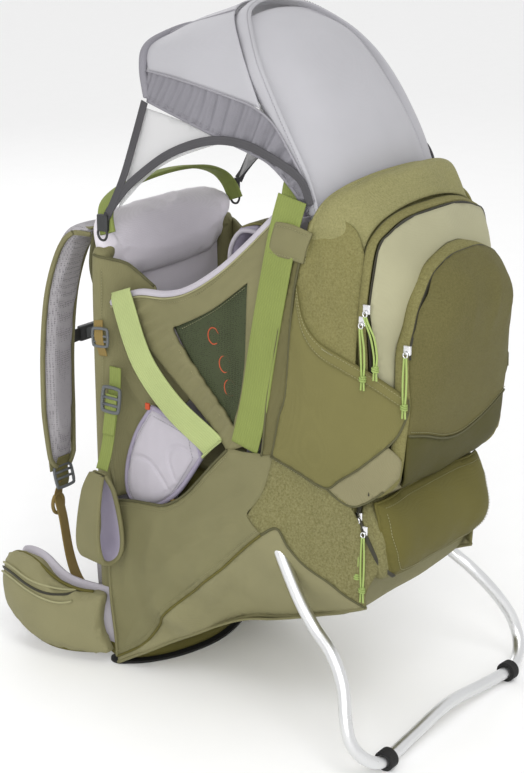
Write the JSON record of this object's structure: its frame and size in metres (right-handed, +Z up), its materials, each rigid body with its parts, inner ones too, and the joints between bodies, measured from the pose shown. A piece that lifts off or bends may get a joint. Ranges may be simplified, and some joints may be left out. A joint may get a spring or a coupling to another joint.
{
  "type": "baby carrier backpack",
  "caption": "Frame backpack for carrying a child: fold-out stand, cockpit seat with stirrups, padded harness and hip belt, zipped rear pack and plug-in sunshade.",
  "frame": {"origin": "on the floor, under the middle of the carrier's footprint", "axes": "+Z up, +X to the wearer's left, -Y the way the wearer and the child face"},
  "size_m": [0.4206, 0.68, 0.9178],
  "materials": {
    "tube_aluminium": "bright polished",
    "pin_steel": "satin",
    "black_rubber": "matte",
    "black_plastic": "moulded, satin",
    "grey_plastic": "moulded, satin",
    "grey_mesh": "spacer mesh over foam",
    "olive_fabric": "plain woven nylon",
    "heather_fabric": "heathered ripstop nylon",
    "dark_mesh": "open mesh",
    "lilac_padding": "brushed knit over foam",
    "lime_webbing": "woven webbing",
    "tan_webbing": "woven webbing",
    "dark_webbing": "woven webbing",
    "shade_fabric": "light coated taffeta",
    "shade_mesh_fabric": "sheer insect mesh",
    "pole_fibreglass": "pultruded rod",
    "lime_cord": "braided cord"
  },
  "bodies": {
    "carrier": {"front_frame_tube": "tube_aluminium", "base_tube": "tube_aluminium", "base_skid": "black_rubber", "rear_frame_tube": "tube_aluminium", "seat_frame_tube": "tube_aluminium", "stand_brackets": "black_plastic", "stand_pins": "pin_steel", "back_panel": "grey_mesh", "lumbar_pad": "grey_mesh", "cockpit_wall_left": "olive_fabric", "cockpit_wall_right": "olive_fabric", "mesh_windows": "dark_mesh", "side_panel_left": "olive_fabric", "side_panel_right": "olive_fabric", "lower_shell": "heather_fabric", "child_back_pad": "lilac_padding", "drool_pad": "lilac_padding", "harness_pads": "lilac_padding", "pack_body": "heather_fabric", "middle_pocket": "olive_fabric", "outer_pocket": "olive_fabric", "lower_pocket": "heather_fabric", "side_pockets": "olive_fabric", "pack_collar": "olive_fabric", "front_handle": "lime_webbing", "rear_handle": "lime_webbing", "side_straps": "lime_webbing", "shade_sockets": "black_plastic"},
    "stand": {"kickstand": "tube_aluminium", "stand_feet": "black_rubber"},
    "harness": {"shoulder_yoke": "olive_fabric", "shoulder_strap_left": "grey_mesh", "shoulder_strap_right": "grey_mesh", "lower_strap_webbing": "tan_webbing", "strap_buckles": "grey_plastic", "sternum_strap": "dark_webbing"},
    "belt_left": {"hip_belt_left": "olive_fabric"},
    "belt_right": {"hip_belt_right": "olive_fabric"},
    "buckle_left": {"hip_buckle_socket": "black_plastic"},
    "buckle_right": {"hip_buckle_tongue": "black_plastic"},
    "seat": {"child_seat": "olive_fabric", "seat_wing_left": "lilac_padding", "seat_wing_right": "lilac_padding", "harness_buckle": "black_plastic"},
    "stirrup_l": {"stirrup_left": "olive_fabric", "stirrup_strap_left": "lime_webbing"},
    "stirrup_r": {"stirrup_right": "olive_fabric", "stirrup_strap_right": "lime_webbing"},
    "shade": {"shade_hoop": "pole_fibreglass", "shade_back": "shade_fabric"},
    "visor": {"shade_canopy": "shade_fabric", "shade_front_bar": "shade_fabric", "shade_mesh_sides": "shade_mesh_fabric", "shade_straps": "dark_webbing"},
    "slider_middle": {"zip_slider_middle": "pin_steel", "zip_pull_middle": "lime_cord"},
    "slider_outer": {"zip_slider_outer": "pin_steel", "zip_pull_outer": "lime_cord"},
    "slider_lower": {"zip_slider_lower": "pin_steel", "zip_pull_lower": "lime_cord"}
  },
  "joints": [
    {"name": "stand_fold", "type": "hinge", "parent": "carrier", "child": "stand", "pos_m": [0, 0.1, 0.318], "axis": [1, 0, 0], "range_deg": [-58, 0]},
    {"name": "torso_length", "type": "slide", "parent": "carrier", "child": "harness", "axis": [0, 0, 1], "range_m": [-0.08, 0.02], "deforming": ["lower_strap_webbing"]},
    {"name": "belt_left_swing", "type": "hinge", "parent": "carrier", "child": "belt_left", "pos_m": [0.152, -0.181, 0.064], "axis": [0, 0, 1], "range_deg": [-10, 30]},
    {"name": "belt_right_swing", "type": "hinge", "parent": "carrier", "child": "belt_right", "pos_m": [-0.152, -0.181, 0.064], "axis": [0, 0, 1], "range_deg": [-30, 10]},
    {"name": "buckle_left_hang", "type": "hinge", "parent": "belt_left", "child": "buckle_left", "pos_m": [0.146, -0.312, 0.109], "axis": [1, 0, 0], "range_deg": [-25, 25]},
    {"name": "buckle_right_hang", "type": "hinge", "parent": "belt_right", "child": "buckle_right", "pos_m": [-0.146, -0.312, 0.109], "axis": [1, 0, 0], "range_deg": [-25, 25]},
    {"name": "seat_height", "type": "slide", "parent": "carrier", "child": "seat", "axis": [0, 0, 1], "range_m": [-0.02, 0.05]},
    {"name": "stirrup_left_swing", "type": "hinge", "parent": "carrier", "child": "stirrup_l", "pos_m": [0.142, -0.138, 0.436], "axis": [1, 0, 0], "range_deg": [-25, 1]},
    {"name": "stirrup_right_swing", "type": "hinge", "parent": "carrier", "child": "stirrup_r", "pos_m": [-0.142, -0.138, 0.436], "axis": [1, 0, 0], "range_deg": [-25, 1]},
    {"name": "shade_lift", "type": "slide", "parent": "carrier", "child": "shade", "axis": [0, 0, 1], "range_m": [0, 0.05]},
    {"name": "visor_fold", "type": "hinge", "parent": "shade", "child": "visor", "pos_m": [0, 0.172, 0.7], "axis": [1, 0, 0], "range_deg": [-40, 0], "deforming": ["shade_canopy"]},
    {"name": "zip_middle", "type": "slide", "parent": "carrier", "child": "slider_middle", "axis": [0, 0.12, 0.9928], "range_m": [0, 0.045]},
    {"name": "zip_outer", "type": "slide", "parent": "carrier", "child": "slider_outer", "axis": [0, 0.12, 0.9928], "range_m": [0, 0.04]},
    {"name": "zip_lower", "type": "slide", "parent": "carrier", "child": "slider_lower", "axis": [0, 0.7001, -0.7141], "range_m": [0, 0.045]}
  ]
}
